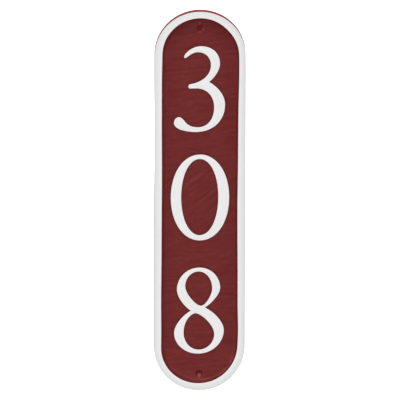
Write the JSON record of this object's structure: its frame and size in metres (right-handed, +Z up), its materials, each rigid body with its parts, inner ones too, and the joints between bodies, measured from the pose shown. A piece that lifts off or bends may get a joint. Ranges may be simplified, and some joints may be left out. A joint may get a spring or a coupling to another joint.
{
  "type": "wall plaque",
  "caption": "Upright house number plaque with round ends, a raised rim, raised numerals on a sunken field and a countersunk screw hole near each end.",
  "frame": {"origin": "centre of the flat back, midway between the two screw holes", "axes": "+Z up the plaque, -Y out of its front, +X to the right of someone who reads it"},
  "size_m": [0.107, 0.0095, 0.4572],
  "materials": {
    "red_paint": "satin dark red paint on a cast metal plaque, with off-white paint on the rim and the numerals"
  },
  "bodies": {
    "root": {"plaque": "red_paint"}
  },
  "joints": []
}
